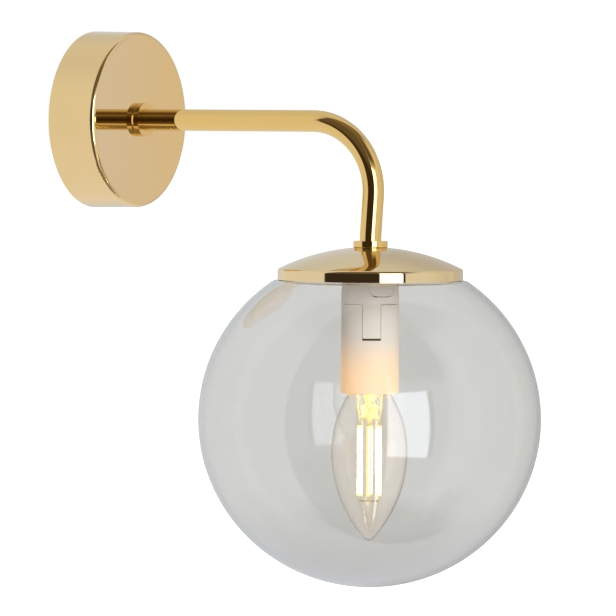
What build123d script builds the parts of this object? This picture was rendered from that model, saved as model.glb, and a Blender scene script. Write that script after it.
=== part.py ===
from build123d import *
from math import asin, cos, degrees, radians, sin, sqrt, tan
import os

os.makedirs("parts", exist_ok=True)

# Globe wall sconce. The wall is the plane Y = 0, the arm points along -Y and +Z is up.
# The origin is on the wall, on the axis of the round canopy.

# canopy, the round cup on the wall
canopy_wall_dia = 83.0
canopy_face_dia = 82.0
canopy_depth = 24.5
canopy_sheet = 1.2
canopy_edge_radius = 2.0
canopy_inner_radius = 0.8

# wall bracket inside the canopy
bracket_width = 22.0
bracket_sheet = 1.5
bracket_flange_depth = 16.0
bracket_bend_radius = 2.5
cable_hole_dia = 14.0
slot_spacing = 50.0
slot_width = 5.0
slot_length = 12.0
earth_boss_dia = 8.0
earth_boss_height = 2.0
earth_screw_drop = 13.0
earth_screw_dia = 4.0
earth_head_dia = 8.0
earth_head_height = 2.4
earth_head_round = 0.8
earth_cross_length = 4.8
earth_cross_width = 1.0
earth_cross_depth = 1.2

# grub screws that grip the bracket through the canopy's rim
grub_dia = 4.0
grub_length = 4.0
grub_recess = 0.2
grub_socket = 2.0
grub_socket_depth = 1.8
grub_setback = 10.0
grub_point_gap = 0.3
weld_nut_flats = 7.0
weld_nut_foot_gap = 0.2
weld_gap = 0.28

# arm tube with its two threaded ends
tube_dia = 10.0
tube_bore = 8.0
arm_reach = 148.9
arm_drop = 54.6
leg_lean = 4.0
bend_radius = 32.0
settle_radius = 60.0
settle_height = 2.2
tube_inside_canopy = 7.8
thread_gap = 0.05

# decorative collars, washers and nuts on the threads
collar_dia = 15.8
collar_height = 3.1
collar_round = 0.5
collar_crown = 1.6
washer_dia = 15.0
washer_thickness = 0.8
washer_teeth = 10
washer_notch = 1.6
nut_flats = 14.0
nut_height = 4.0
nut_chamfer = 0.6

# earth tag and terminal block inside the canopy
tag_dia = 14.0
tag_thickness = 0.8
tag_tail_width = 4.5
tag_tail_reach = 11.0
tag_barrel_dia = 3.4
tag_barrel_length = 5.0
block_pitch = 8.0
block_poles = 3
block_length = 16.0
block_height = 14.0
block_drop = 18.0
block_entry_height = 9.3
block_edge_round = 1.0
sleeve_dia = 4.4
sleeve_bore = 2.6
sleeve_length = 12.0
block_screw_dia = 3.0
block_screw_inset = 4.0
block_fit = 0.05
screw_slot_width = 0.6
screw_slot_depth = 0.7

# wires
wire_dia = 1.8
wire_offset = 1.3
wire_end_gap = 0.1
wire_run_out = 2.0
wire_spread_drop = 8.0
earth_loop_height = 14.0
earth_loop_reach = 5.0
earth_loop_lean = 2.5

# dome cap over the globe
cap_dia = 85.0
cap_sheet = 1.0
skirt_height = 4.8
cap_dome_radius = 93.5
cap_seat_dia = 17.0
cap_corner_radius = 1.6
cap_inner_radius = 0.6

# spring spider that holds the globe by its neck
spring_sheet = 0.6
spring_hub_thickness = 0.8
spring_leg_width = 8.0
spring_legs = 3
spring_first_angle = 90.0
spring_leg_gap = 0.3
spring_nose_depth = 1.75
spring_knee_rise = 3.4
spring_knee_inset = 4.4
spring_foot_length = 1.8
spring_foot_inset = 1.4

# glass globe
globe_dia = 157.0
globe_full_height = 153.8
globe_wall = 1.5
neck_wall = 2.0
neck_height = 4.0
neck_gap = 2.0
ledge_overhang = 1.7
ledge_gap = 0.35
ledge_round = 1.0

# lampholder
holder_dia = 26.5
holder_wall = 1.2
holder_top_gap = 0.4
boss_dia = 15.6
boss_height = 1.6
shoulder_height = 13.7
holder_cap_height = 18.6
holder_length = 59.6
roof_height = 5.8
seam_gap = 0.3
tongue_width = 8.2
tongue_length = 15.5
tongue_side_gap = 0.2
tongue_end_gap = 1.0
tongue_angle = 213.0
lock_angle = 236.5
lock_width = 12.2
lock_slit = 0.5
lock_top_drop = 7.0
lock_bottom_drop = 15.2
lock_corner = 3.0
lock_slit_start = 8.5
bush_dia = 12.6
bush_flange_dia = 15.0
bush_flange_height = 1.4
tube_in_holder = 8.0
holder_rim_round = 0.5
insert_fit = 0.3
insert_top_gap = 2.7
insert_length = 25.5
insert_deck = 5.5
ledge_ring_height = 1.6
ledge_ring_bore = 18.4
socket_gap = 0.3
post_offset = 5.0
post_dia = 4.0
post_bore = 2.0
strip_thickness = 0.4
strip_width = 4.0
strip_fit = 0.1
strip_drop = 2.3
strip_root = 1.0
side_strip_length = 12.0
clamp_screw_dia = 2.5
clamp_screw_length = 5.0
clamp_screw_drop = 2.7

# candle lamp with a small Edison screw
lamp_dia = 35.0
lamp_length = 98.0
lamp_tip_height = 1.2
lamp_tip_dia = 5.2
lamp_insulator_height = 2.6
lamp_cap_length = 23.0
lamp_thread_dia = 13.9
lamp_skirt_dia = 15.0
lamp_skirt_length = 4.2
lamp_cap_sheet = 0.35
lamp_glass_wall = 0.8
lamp_neck_dia = 13.8
lamp_neck_overlap = 2.4
lamp_neck_to_belly = 36.5
lamp_shoulder_radius = 50.0
lamp_shoulder_rise = 27.0
lamp_neck_gap = 0.3
lamp_tip_round = 2.6
stem_dia = 11.0
stem_pinch_dia = 3.6
stem_length = 21.0
stem_wall = 0.7
stem_press_width = 8.0
stem_press_height = 5.5
filament_count = 4
filament_ring_dia = 8.7
filament_width = 2.4
filament_thickness = 1.0
filament_length = 32.0
filament_drop = 45.2
filament_turn = 20.0
lead_dia = 0.6
contact_gap = 0.3
driver_width = 9.0
driver_thickness = 1.0
driver_length = 12.0
capacitor_dia = 5.0
capacitor_length = 7.0

# places worked out from the sizes above
tube_r = tube_dia / 2
bored_r = tube_r + thread_gap
canopy_inner_y = canopy_sheet - canopy_depth
canopy_taper = (canopy_wall_dia - canopy_face_dia) / 2 / canopy_depth
canopy_r_at_grub = canopy_wall_dia / 2 - canopy_taper * grub_setback
grub_outer_z = canopy_r_at_grub - grub_recess
grub_point_z = grub_outer_z - grub_length
flange_z = grub_point_z - grub_point_gap
weld_nut_top = canopy_r_at_grub - canopy_taper * weld_nut_flats / 2 - canopy_sheet - weld_gap
weld_nut_foot = flange_z + weld_nut_foot_gap

seat_z = -arm_drop - collar_height
dome_centre_z = seat_z - sqrt(cap_dome_radius**2 - (cap_seat_dia / 2) ** 2)
cap_r = cap_dia / 2
skirt_z = dome_centre_z + sqrt(cap_dome_radius**2 - cap_r**2) - skirt_height
settle_z = settle_height - arm_drop
leg_corner_y = -arm_reach + settle_z * tan(radians(leg_lean))

spring_top_z = dome_centre_z + sqrt((cap_dome_radius - cap_sheet) ** 2 - (cap_seat_dia / 2) ** 2)
cap_washer_z = spring_top_z - spring_hub_thickness
cap_nut_z = cap_washer_z - washer_thickness
holder_top_z = cap_nut_z - nut_height - holder_top_gap
tube_end_z = holder_top_z - tube_in_holder
holder_cap_z = holder_top_z - holder_cap_height
holder_foot_z = holder_top_z - holder_length
holder_r = holder_dia / 2
holder_inner_r = holder_r - holder_wall
insert_top_z = holder_cap_z - insert_top_gap
insert_foot_z = insert_top_z - insert_length
deck_z = insert_top_z - insert_deck
ledge_ring_z = insert_foot_z - insert_fit
socket_r = lamp_thread_dia / 2 + socket_gap

globe_r = globe_dia / 2
globe_half = globe_full_height / 2
ledge_z = skirt_z - ledge_gap
ledge_r = cap_r + ledge_overhang
globe_centre_z = ledge_z - globe_half * sqrt(1 - (ledge_r / globe_r) ** 2)
neck_top_z = ledge_z + neck_height
neck_r = cap_r - cap_sheet - neck_gap
neck_inner_r = neck_r - neck_wall

strip_foot_z = deck_z - strip_drop
lamp_top_z = strip_foot_z - contact_gap
insulator_z = lamp_top_z - lamp_tip_height
lamp_cap_z = insulator_z - lamp_insulator_height
lamp_cap_foot_z = lamp_top_z - lamp_cap_length
lamp_neck_z = lamp_cap_foot_z + lamp_neck_overlap
belly_z = lamp_neck_z - lamp_neck_to_belly
filament_top_z = lamp_top_z - filament_drop
filament_foot_z = filament_top_z - filament_length


def level(z):
    # a level plane at height z, centred on the lamp axis
    return Plane(origin=(0, -arm_reach, z))


def facing(angle):
    # an upright plane through the lamp axis, its normal at this angle from +X
    return Plane(
        origin=(0, -arm_reach, 0),
        x_dir=(-sin(radians(angle)), cos(radians(angle)), 0),
        z_dir=(cos(radians(angle)), sin(radians(angle)), 0),
    )


def across(angle):
    # the plane that holds the lamp axis and the radius at this angle; x is the radius
    return Plane(
        origin=(0, -arm_reach, 0),
        x_dir=(cos(radians(angle)), sin(radians(angle)), 0),
        z_dir=(sin(radians(angle)), -cos(radians(angle)), 0),
    )


def ellipse_angle(rise):
    # the angle on an ellipse, in degrees, at this share of its half height
    return degrees(asin(rise))


lamp_plane = Plane.XZ.offset(arm_reach)
lamp_axis = Axis((0, -arm_reach, 0), (0, 0, 1))

# ---- wall side ----

with BuildPart() as wall_bracket:
    with BuildSketch(Plane.YZ) as strap:
        with BuildLine():
            Polyline(
                (0, -flange_z),
                (0, flange_z),
                (-bracket_flange_depth, flange_z),
                (-bracket_flange_depth, flange_z - bracket_sheet),
                (-bracket_sheet, flange_z - bracket_sheet),
                (-bracket_sheet, bracket_sheet - flange_z),
                (-bracket_flange_depth, bracket_sheet - flange_z),
                (-bracket_flange_depth, -flange_z),
                close=True,
            )
        make_face()
        outer_bends = strap.vertices().group_by(Axis.X)[-1]
        fillet(outer_bends, bracket_bend_radius)
    extrude(amount=bracket_width / 2, both=True)
    with BuildSketch(Plane.XZ.offset(bracket_sheet)):
        with Locations((0, -earth_screw_drop)):
            Circle(earth_boss_dia / 2)
    extrude(amount=earth_boss_height)
    with BuildSketch(Plane.XZ):
        Circle(cable_hole_dia / 2)
        with GridLocations(0, slot_spacing, 1, 2):
            SlotOverall(slot_length, slot_width, rotation=90)
    extrude(amount=bracket_sheet, mode=Mode.SUBTRACT)
    with BuildSketch(Plane.XZ):
        with Locations((0, -earth_screw_drop)):
            Circle(earth_screw_dia / 2 + thread_gap)
    extrude(amount=bracket_sheet + earth_boss_height, mode=Mode.SUBTRACT)

earth_face = bracket_sheet + earth_boss_height

with BuildPart() as bracket_earth_screw:
    with BuildSketch(Plane.XZ.offset(thread_gap)):
        with Locations((0, -earth_screw_drop)):
            Circle(earth_screw_dia / 2)
    extrude(amount=earth_face - thread_gap)
    with BuildSketch(Plane.XZ.offset(earth_face)):
        with Locations((0, -earth_screw_drop)):
            Circle(earth_head_dia / 2)
    extrude(amount=earth_head_height)
    fillet(bracket_earth_screw.faces().sort_by(Axis.Y)[0].edges(), earth_head_round)
    with BuildSketch(Plane.XZ.offset(earth_face + earth_head_height)):
        with Locations((0, -earth_screw_drop)):
            Rectangle(earth_cross_length, earth_cross_width)
            Rectangle(earth_cross_width, earth_cross_length)
    extrude(amount=-earth_cross_depth, mode=Mode.SUBTRACT)

with BuildPart() as canopy:
    with BuildSketch() as canopy_outside:
        with BuildLine():
            Polyline(
                (0, 0),
                (canopy_wall_dia / 2, 0),
                (canopy_face_dia / 2, -canopy_depth),
                (0, -canopy_depth),
                close=True,
            )
        make_face()
        face_corner = canopy_outside.vertices().sort_by_distance((canopy_face_dia / 2, -canopy_depth, 0))[0]
        fillet(face_corner, canopy_edge_radius)
    revolve(axis=Axis.Y)
    with BuildSketch() as canopy_inside:
        with BuildLine():
            Polyline(
                (0, 0),
                (canopy_wall_dia / 2 - canopy_sheet, 0),
                (canopy_face_dia / 2 - canopy_sheet, canopy_inner_y),
                (0, canopy_inner_y),
                close=True,
            )
        make_face()
        inner_corner = canopy_inside.vertices().group_by(Axis.Y)[0].sort_by(Axis.X)[-1]
        fillet(inner_corner, canopy_inner_radius)
    revolve(axis=Axis.Y, mode=Mode.SUBTRACT)
    with BuildSketch(Plane.XZ.offset(canopy_depth)):
        Circle(bored_r)
    extrude(amount=-canopy_sheet, mode=Mode.SUBTRACT)
    with BuildSketch():
        with Locations((0, -grub_setback)):
            Circle(grub_dia / 2 + thread_gap)
    extrude(amount=canopy_wall_dia, both=True, mode=Mode.SUBTRACT)

with BuildPart() as weld_nuts:
    with BuildSketch(Plane.XY.offset(weld_nut_top)):
        with Locations((0, -grub_setback)):
            RegularPolygon(weld_nut_flats / 2, 6, major_radius=False)
            Circle(grub_dia / 2 + thread_gap, mode=Mode.SUBTRACT)
    extrude(amount=weld_nut_foot - weld_nut_top)
    mirror(about=Plane.XY)

with BuildPart() as grub_screws:
    with BuildSketch(Plane.XY.offset(grub_outer_z)):
        with Locations((0, -grub_setback)):
            Circle(grub_dia / 2)
    extrude(amount=-grub_length)
    with BuildSketch(Plane.XY.offset(grub_outer_z)):
        with Locations((0, -grub_setback)):
            RegularPolygon(grub_socket / 2, 6, major_radius=False)
    extrude(amount=-grub_socket_depth, mode=Mode.SUBTRACT)
    mirror(about=Plane.XY)

# ---- arm ----

tube_start_y = canopy_inner_y + tube_inside_canopy

with BuildPart() as arm_tube:
    with BuildLine() as arm_route:
        FilletPolyline(
            (0, tube_start_y, 0),
            (0, leg_corner_y, 0),
            (0, -arm_reach, settle_z),
            (0, -arm_reach, tube_end_z),
            radius=[bend_radius, settle_radius],
        )
    with BuildSketch(Plane(origin=arm_route.wire() @ 0, z_dir=arm_route.wire() % 0)):
        Circle(tube_r)
        Circle(tube_bore / 2, mode=Mode.SUBTRACT)
    sweep(path=arm_route.wire())

with BuildPart() as canopy_collar:
    with BuildSketch() as collar_section:
        with BuildLine():
            Polyline(
                (bored_r, -canopy_depth),
                (collar_dia / 2, -canopy_depth),
                (collar_dia / 2, -canopy_depth - collar_height),
                (bored_r, -canopy_depth - collar_height),
                close=True,
            )
        make_face()
        base_corner, crown_corner = collar_section.vertices().group_by(Axis.X)[-1].sort_by(-Axis.Y)
        fillet(base_corner, collar_round)
        fillet(crown_corner, collar_crown)
    revolve(axis=Axis.Y)

with BuildPart() as cap_collar:
    with BuildSketch(lamp_plane) as cap_collar_section:
        with BuildLine():
            Polyline(
                (bored_r, seat_z),
                (collar_dia / 2, seat_z),
                (collar_dia / 2, seat_z + collar_height),
                (bored_r, seat_z + collar_height),
                close=True,
            )
        make_face()
        base_corner, crown_corner = cap_collar_section.vertices().group_by(Axis.X)[-1].sort_by(Axis.Y)
        fillet(base_corner, collar_round)
        fillet(crown_corner, collar_crown)
    revolve(axis=lamp_axis)

tag_y = canopy_inner_y + tag_thickness
canopy_washer_y = tag_y + washer_thickness
canopy_nut_y = canopy_washer_y + nut_height

with BuildPart() as earth_tag:
    with BuildSketch(Plane.XZ.offset(-tag_y)):
        Circle(tag_dia / 2)
        with Locations((0, tag_tail_reach / 2)):
            Rectangle(tag_tail_width, tag_tail_reach)
        Circle(bored_r, mode=Mode.SUBTRACT)
    extrude(amount=tag_thickness)
    barrel_plane = Plane(
        origin=(0, tag_y + tag_barrel_dia / 2 - tag_thickness, tag_tail_reach), z_dir=(0, 0, 1)
    )
    with BuildSketch(barrel_plane):
        Circle(tag_barrel_dia / 2)
        Circle(wire_dia / 2 + wire_end_gap / 2, mode=Mode.SUBTRACT)
    extrude(amount=tag_barrel_length)

with BuildPart() as canopy_washer:
    with BuildSketch(Plane.XZ.offset(-canopy_washer_y)):
        Circle(washer_dia / 2)
        Circle(bored_r, mode=Mode.SUBTRACT)
        with PolarLocations(washer_dia / 2, washer_teeth):
            Rectangle(washer_notch, washer_notch, mode=Mode.SUBTRACT)
    extrude(amount=washer_thickness)

with BuildPart() as canopy_nut:
    with BuildSketch(Plane.XZ.offset(-canopy_nut_y)):
        RegularPolygon(nut_flats / 2, 6, major_radius=False)
        Circle(bored_r, mode=Mode.SUBTRACT)
    extrude(amount=nut_height)
    chamfer(canopy_nut.faces().sort_by(Axis.Y)[-1].inner_wires().edges(), nut_chamfer)

with BuildPart() as cap_washer:
    with BuildSketch(level(cap_washer_z)):
        Circle(washer_dia / 2)
        Circle(bored_r, mode=Mode.SUBTRACT)
        with PolarLocations(washer_dia / 2, washer_teeth):
            Rectangle(washer_notch, washer_notch, mode=Mode.SUBTRACT)
    extrude(amount=-washer_thickness)

with BuildPart() as cap_nut:
    with BuildSketch(level(cap_nut_z)):
        RegularPolygon(nut_flats / 2, 6, major_radius=False)
        Circle(bored_r, mode=Mode.SUBTRACT)
    extrude(amount=-nut_height)
    chamfer(cap_nut.faces().sort_by(Axis.Z)[0].inner_wires().edges(), nut_chamfer)

# ---- terminal block and wires ----

block_width = block_poles * block_pitch
block_face_y = canopy_inner_y + block_height
entry_y = canopy_inner_y + block_entry_height
block_mid_z = -block_drop - block_length / 2
sleeve_top_z = block_mid_z + sleeve_length / 2
block_screw_z = sleeve_length / 2 - block_screw_inset

with BuildPart() as terminal_block:
    with BuildSketch(Plane.XZ.offset(-canopy_inner_y)):
        with Locations((0, block_mid_z)):
            Rectangle(block_width, block_length)
    extrude(amount=-block_entry_height)
    with BuildSketch(Plane.XY.offset(-block_drop)):
        with Locations((0, entry_y)):
            with GridLocations(block_pitch, 0, block_poles, 1):
                Circle(sleeve_dia / 2 + block_edge_round)
    extrude(amount=-block_length)
    with BuildSketch(Plane.XZ.offset(-entry_y)):
        with Locations((0, block_mid_z)):
            with GridLocations(block_pitch, 2 * block_screw_z, block_poles, 2):
                Circle(block_screw_dia / 2 + block_edge_round)
    extrude(amount=entry_y - block_face_y)
    with BuildSketch(Plane.XY.offset(-block_drop)):
        with Locations((0, entry_y)):
            with GridLocations(block_pitch, 0, block_poles, 1):
                Circle(sleeve_bore / 2)
    extrude(amount=-block_length, mode=Mode.SUBTRACT)
    with BuildSketch(Plane.XY.offset(sleeve_top_z)):
        with Locations((0, entry_y)):
            with GridLocations(block_pitch, 0, block_poles, 1):
                Circle(sleeve_dia / 2 + block_fit)
    extrude(amount=-sleeve_length, mode=Mode.SUBTRACT)
    with BuildSketch(Plane.XZ.offset(-block_face_y)):
        with Locations((0, block_mid_z)):
            with GridLocations(block_pitch, 2 * block_screw_z, block_poles, 2):
                Circle(block_screw_dia / 2 + block_fit)
    extrude(amount=block_face_y - entry_y, mode=Mode.SUBTRACT)

with BuildPart() as terminal_sleeves:
    with BuildSketch(Plane.XY.offset(sleeve_top_z)):
        with Locations((0, entry_y)):
            with GridLocations(block_pitch, 0, block_poles, 1):
                Circle(sleeve_dia / 2)
    extrude(amount=-sleeve_length)
    with BuildSketch(Plane.XY.offset(sleeve_top_z)):
        with Locations((0, entry_y)):
            with GridLocations(block_pitch, 0, block_poles, 1):
                Circle(sleeve_bore / 2)
    extrude(amount=-sleeve_length, mode=Mode.SUBTRACT)
    with BuildSketch(Plane.XZ.offset(-block_face_y)):
        with Locations((0, block_mid_z)):
            with GridLocations(block_pitch, 2 * block_screw_z, block_poles, 2):
                Circle(block_screw_dia / 2 + block_fit)
    extrude(amount=block_face_y - entry_y, mode=Mode.SUBTRACT)

block_screw_foot_y = entry_y + wire_dia / 2 + wire_end_gap

with BuildPart() as terminal_screws:
    with BuildSketch(Plane.XZ.offset(-block_screw_foot_y)):
        with Locations((0, block_mid_z)):
            with GridLocations(block_pitch, 2 * block_screw_z, block_poles, 2):
                Circle(block_screw_dia / 2)
    extrude(amount=block_screw_foot_y - block_face_y + block_edge_round)
    with BuildSketch(Plane.XZ.offset(block_edge_round - block_face_y)):
        with Locations((0, block_mid_z)):
            with GridLocations(block_pitch, 2 * block_screw_z, block_poles, 2):
                Rectangle(block_screw_dia, screw_slot_width)
    extrude(amount=screw_slot_depth, mode=Mode.SUBTRACT)

wire_start_z = block_mid_z + wire_end_gap
tag_mouth_z = tag_tail_reach + wire_end_gap
wire_rise_z = wire_dia - block_drop
tag_wire_y = tag_y + tag_barrel_dia / 2 - tag_thickness
nut_clear = nut_flats / 2 / cos(radians(30)) + wire_dia
behind_tube_y = (tube_start_y - bracket_sheet) / 2
post_wire_z = insert_top_z - insert_deck + wire_end_gap

with BuildPart() as live_wire:
    with BuildLine() as live_route:
        FilletPolyline(
            (-block_pitch, entry_y, wire_start_z),
            (-block_pitch, entry_y, wire_rise_z),
            (-block_pitch + 1, entry_y + 1, -nut_clear),
            (-4.2, behind_tube_y + 2.4, -3),
            (-wire_offset, behind_tube_y, 0),
            (-wire_offset, leg_corner_y, 0),
            (-wire_offset, -arm_reach, settle_z),
            (-wire_offset, -arm_reach, tube_end_z - wire_run_out),
            (-post_offset, -arm_reach, tube_end_z - wire_spread_drop),
            (-post_offset, -arm_reach, post_wire_z),
            radius=[6, 3, 2.5, 2, bend_radius, settle_radius, 5, 5],
        )
    with BuildSketch(Plane(origin=live_route.wire() @ 0, z_dir=live_route.wire() % 0)):
        Circle(wire_dia / 2)
    sweep(path=live_route.wire())

with BuildPart() as neutral_wire:
    with BuildLine() as neutral_route:
        FilletPolyline(
            (0, entry_y, wire_start_z),
            (0, entry_y, wire_rise_z),
            (0.6, entry_y + 1, -nut_clear),
            (2.4, behind_tube_y + 2.4, -3.4),
            (wire_offset, behind_tube_y, 0),
            (wire_offset, leg_corner_y, 0),
            (wire_offset, -arm_reach, settle_z),
            (wire_offset, -arm_reach, tube_end_z - wire_run_out),
            (post_offset, -arm_reach, tube_end_z - wire_spread_drop),
            (post_offset, -arm_reach, post_wire_z),
            radius=[6, 3, 2.2, 1.8, bend_radius, settle_radius, 5, 5],
        )
    with BuildSketch(Plane(origin=neutral_route.wire() @ 0, z_dir=neutral_route.wire() % 0)):
        Circle(wire_dia / 2)
    sweep(path=neutral_route.wire())

with BuildPart() as earth_wire:
    with BuildLine() as earth_route:
        FilletPolyline(
            (block_pitch, entry_y, wire_start_z),
            (block_pitch, entry_y, wire_rise_z),
            (block_pitch + 3, entry_y, -nut_clear),
            (nut_clear + earth_loop_reach, entry_y - 1, nut_clear),
            (nut_clear - 2, tag_wire_y + 2, tag_mouth_z + earth_loop_height - 3),
            (earth_loop_lean, tag_wire_y + 0.5, tag_mouth_z + earth_loop_height),
            (0, tag_wire_y, tag_mouth_z + earth_loop_height - 5),
            (0, tag_wire_y, tag_mouth_z),
            radius=[4, 6, 7, 4, 1.6, 3],
        )
    with BuildSketch(Plane(origin=earth_route.wire() @ 0, z_dir=earth_route.wire() % 0)):
        Circle(wire_dia / 2)
    sweep(path=earth_route.wire())

# ---- dome cap and globe ----

def dome_z(radius, sphere_radius):
    return dome_centre_z + sqrt(sphere_radius**2 - radius**2)


def dome_section(inset):
    # half section of the cap, this far inside its outer skin, down to the skirt's edge
    sphere_radius = cap_dome_radius - inset
    seat_r = cap_seat_dia / 2
    side_r = cap_r - inset
    with BuildLine() as section:
        seat = Line((0, dome_z(seat_r, sphere_radius)), (seat_r, dome_z(seat_r, sphere_radius)))
        dome = RadiusArc(seat @ 1, (side_r, dome_z(side_r, sphere_radius)), sphere_radius)
        side = Line(dome @ 1, (side_r, skirt_z))
        Polyline(side @ 1, (0, skirt_z), seat @ 0)
    return section.edges()


with BuildPart() as dome_cap:
    with BuildSketch(lamp_plane) as dome_outside:
        make_face(dome_section(0))
        outer_corner = dome_outside.vertices().group_by(Axis.X)[-1].sort_by(Axis.Y)[-1]
        fillet(outer_corner, cap_corner_radius)
    revolve(axis=lamp_axis)
    with BuildSketch(lamp_plane) as dome_inside:
        make_face(dome_section(cap_sheet))
        inner_corner = dome_inside.vertices().group_by(Axis.X)[-1].sort_by(Axis.Y)[-1]
        fillet(inner_corner, cap_inner_radius)
    revolve(axis=lamp_axis, mode=Mode.SUBTRACT)
    with BuildSketch(level(seat_z)):
        Circle(bored_r)
    extrude(amount=-2 * cap_sheet, mode=Mode.SUBTRACT)

nose_r = neck_inner_r - spring_leg_gap - spring_sheet / 2
hub_r = cap_seat_dia / 2 - spring_leg_gap
leg_z = spring_top_z - spring_hub_thickness / 2
nose_z = neck_top_z - spring_nose_depth

with BuildPart() as globe_spring:
    with BuildSketch(level(spring_top_z)):
        Circle(hub_r)
    extrude(amount=-spring_hub_thickness)
    for leg in range(spring_legs):
        leg_plane = across(spring_first_angle + leg * 360 / spring_legs)
        with BuildSketch(leg_plane):
            with BuildLine():
                Polyline(
                    (hub_r - spring_sheet, leg_z),
                    (nose_r - spring_knee_inset, nose_z + spring_knee_rise),
                    (nose_r, nose_z),
                    (nose_r - spring_foot_inset, nose_z - spring_foot_length),
                )
            trace(line_width=spring_sheet)
        extrude(amount=spring_leg_width / 2, both=True)
    with BuildSketch(level(spring_top_z)):
        Circle(bored_r)
    extrude(amount=-spring_hub_thickness, mode=Mode.SUBTRACT)


def globe_section(inset, neck_inset):
    # half section of the globe, this far inside its outer skin, up to the top of the neck
    radius = globe_r - inset
    half_height = globe_half - inset
    shelf_z = ledge_z - inset
    turn = 90 + ellipse_angle((shelf_z - globe_centre_z) / half_height)
    with BuildLine() as section:
        shell = EllipticalCenterArc((0, globe_centre_z), radius, half_height, -90, arc_size=turn)
        Polyline(
            shell @ 1,
            (neck_r - neck_inset, shelf_z),
            (neck_r - neck_inset, neck_top_z),
            (0, neck_top_z),
            shell @ 0,
        )
    return section.edges()


with BuildPart() as glass_globe:
    with BuildSketch(lamp_plane) as globe_outside:
        make_face(globe_section(0, 0))
        shoulder = globe_outside.vertices().sort_by_distance((ledge_r, ledge_z, 0))[0]
        fillet(shoulder, ledge_round)
    revolve(axis=lamp_axis)
    with BuildSketch(lamp_plane):
        make_face(globe_section(globe_wall, neck_wall))
    revolve(axis=lamp_axis, mode=Mode.SUBTRACT)

# ---- lampholder ----

shoulder_z = holder_top_z - boss_height
straight_z = shoulder_z - shoulder_height
roof_z = holder_top_z - roof_height
roof_turn = ellipse_angle((roof_z - straight_z) / shoulder_height)


def holder_cap_section(inset, top_z, turn):
    # half section of the upper shell, this far inside its outer skin, up to top_z
    boss_r = boss_dia / 2 - inset
    side_r = holder_r - inset
    with BuildLine() as section:
        bulge = EllipticalCenterArc(
            (boss_r, straight_z), side_r - boss_r, shoulder_height, 0, arc_size=turn
        )
        Polyline(bulge @ 1, (0, top_z), (0, holder_cap_z), (side_r, holder_cap_z), bulge @ 0)
    return section.edges()


with BuildPart() as holder_cap:
    with BuildSketch(lamp_plane):
        make_face(holder_cap_section(0, shoulder_z, 90))
    revolve(axis=lamp_axis)
    with BuildSketch(level(shoulder_z)):
        Circle(boss_dia / 2)
    extrude(amount=boss_height)
    with BuildSketch(lamp_plane):
        make_face(holder_cap_section(holder_wall, roof_z, roof_turn))
    revolve(axis=lamp_axis, mode=Mode.SUBTRACT)
    with BuildSketch(level(holder_top_z)):
        Circle(bush_dia / 2 + thread_gap)
    extrude(amount=-roof_height, mode=Mode.SUBTRACT)
    with BuildSketch(level(holder_cap_z)):
        Circle(holder_r)
        Circle(holder_inner_r, mode=Mode.SUBTRACT)
        Rectangle(holder_dia, tongue_width, rotation=tongue_angle, mode=Mode.INTERSECT)
    extrude(amount=-tongue_length)
    with BuildSketch(facing(lock_angle).offset(lock_slit_start)):
        with BuildLine():
            FilletPolyline(
                (-lock_width / 2, holder_top_z - lock_top_drop),
                (-lock_width / 2, holder_top_z - lock_bottom_drop),
                (lock_width / 2, holder_top_z - lock_bottom_drop),
                (lock_width / 2, holder_top_z - lock_top_drop),
                radius=lock_corner,
            )
        trace(line_width=lock_slit)
    extrude(amount=holder_r, mode=Mode.SUBTRACT)

with BuildPart() as entry_bush:
    with BuildSketch(level(holder_top_z)):
        Circle(bush_dia / 2)
    extrude(amount=-roof_height)
    with BuildSketch(level(holder_top_z - roof_height)):
        Circle(bush_flange_dia / 2)
    extrude(amount=-bush_flange_height)
    with BuildSketch(level(holder_top_z)):
        Circle(bored_r)
    extrude(amount=-roof_height - bush_flange_height, mode=Mode.SUBTRACT)

shell_top_z = holder_cap_z - seam_gap

with BuildPart() as holder_shell:
    with BuildSketch(level(shell_top_z)):
        Circle(holder_r)
        Circle(holder_inner_r, mode=Mode.SUBTRACT)
    extrude(amount=holder_foot_z - shell_top_z)
    fillet(holder_shell.faces().sort_by(Axis.Z)[0].outer_wire().edges(), holder_rim_round)
    with BuildSketch(level(ledge_ring_z)):
        Circle(holder_r - holder_wall / 2)
        Circle(ledge_ring_bore / 2, mode=Mode.SUBTRACT)
    extrude(amount=-ledge_ring_height)
    with BuildSketch(level(shell_top_z)):
        Rectangle(2 * holder_dia, tongue_width + 2 * tongue_side_gap, rotation=tongue_angle)
    extrude(amount=holder_cap_z - shell_top_z - tongue_length - tongue_end_gap, mode=Mode.SUBTRACT)

post_places = [(-post_offset, 0), (post_offset, 0)]
pocket_x = socket_r + strip_thickness + strip_fit
clamp_z = insert_top_z - clamp_screw_drop

with BuildPart() as holder_insert:
    with BuildSketch(level(insert_top_z)):
        Circle(holder_inner_r - insert_fit)
    extrude(amount=-insert_length)
    with BuildSketch(level(insert_foot_z)):
        Circle(socket_r)
    extrude(amount=insert_length - insert_deck, mode=Mode.SUBTRACT)
    with BuildSketch(level(insert_top_z)):
        with Locations(*post_places):
            Circle(post_dia / 2 + strip_fit)
    extrude(amount=-insert_deck, mode=Mode.SUBTRACT)
    with BuildSketch(level(deck_z)):
        with Locations((pocket_x / 2, 0)):
            Rectangle(pocket_x, strip_width + 2 * strip_fit)
    extrude(amount=-side_strip_length - strip_fit, mode=Mode.SUBTRACT)
    with BuildSketch(lamp_plane.offset(-holder_inner_r)):
        with Locations((-post_offset, clamp_z), (post_offset, clamp_z)):
            Circle(clamp_screw_dia / 2 + thread_gap)
    extrude(amount=holder_inner_r, mode=Mode.SUBTRACT)

post_hole = clamp_screw_dia / 2 + thread_gap

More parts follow.
